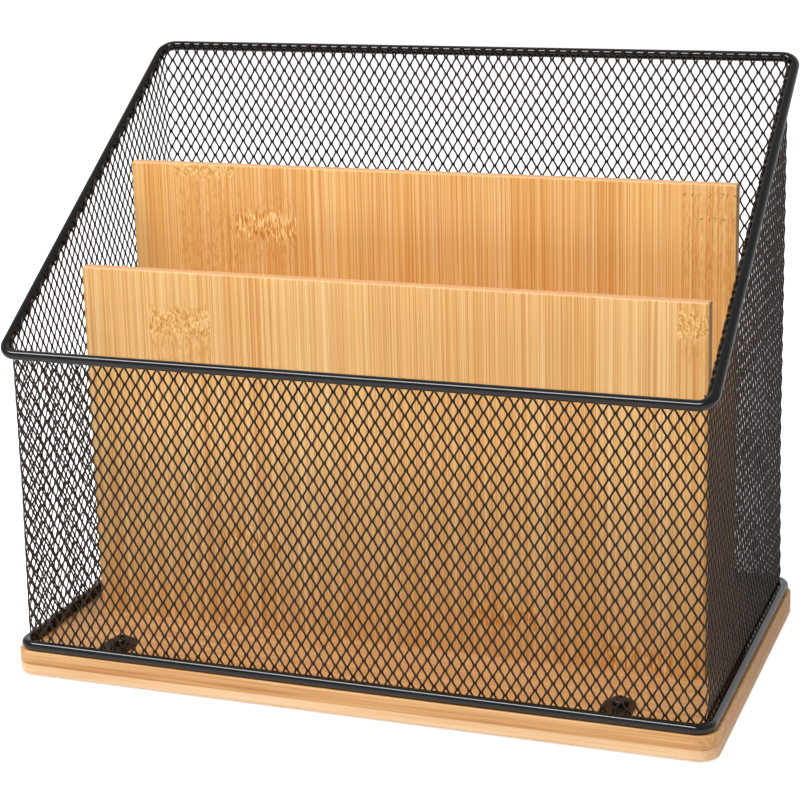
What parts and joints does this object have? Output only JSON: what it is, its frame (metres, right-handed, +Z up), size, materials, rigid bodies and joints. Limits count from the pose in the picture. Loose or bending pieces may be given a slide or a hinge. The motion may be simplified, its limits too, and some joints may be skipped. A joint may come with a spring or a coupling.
{
  "type": "envelope sorter",
  "caption": "Desk sorter for envelopes and papers: a mesh basket with a sloping wire rim on a bamboo board, with upright bamboo dividers of stepped height.",
  "frame": {"origin": "on the surface it stands on, under the middle of the board", "axes": "+X to the right along the dividers, +Y from the low front to the high back, +Z up"},
  "size_m": [0.319, 0.178, 0.2647],
  "materials": {
    "base_bamboo": "satin clear lacquer on bamboo",
    "divider_bamboo": "satin clear lacquer on bamboo",
    "rim_coating": "semi-gloss black powder coat",
    "mesh_coating": "semi-gloss black powder coat",
    "tab_coating": "semi-gloss black powder coat",
    "black_screw": "black oxide",
    "plated_screw": "zinc plated",
    "pad_rubber": "matte"
  },
  "bodies": {
    "root": {"base_board": "base_bamboo", "front_divider": "divider_bamboo", "rear_divider": "divider_bamboo", "lower_rim_wire": "rim_coating", "upper_rim_wire": "rim_coating", "mesh_front": "mesh_coating", "mesh_rear": "mesh_coating", "mesh_left": "mesh_coating", "mesh_right": "mesh_coating", "mesh_corner_front_left": "mesh_coating", "mesh_corner_front_right": "mesh_coating", "mesh_corner_rear_left": "mesh_coating", "mesh_corner_rear_right": "mesh_coating", "mounting_tab_front_left": "tab_coating", "mounting_tab_front_right": "tab_coating", "mounting_tab_rear_left": "tab_coating", "mounting_tab_rear_right": "tab_coating", "tab_screws": "black_screw", "divider_screws": "plated_screw", "pad_front_left": "pad_rubber", "pad_front_right": "pad_rubber", "pad_rear_left": "pad_rubber", "pad_rear_right": "pad_rubber"}
  },
  "joints": []
}
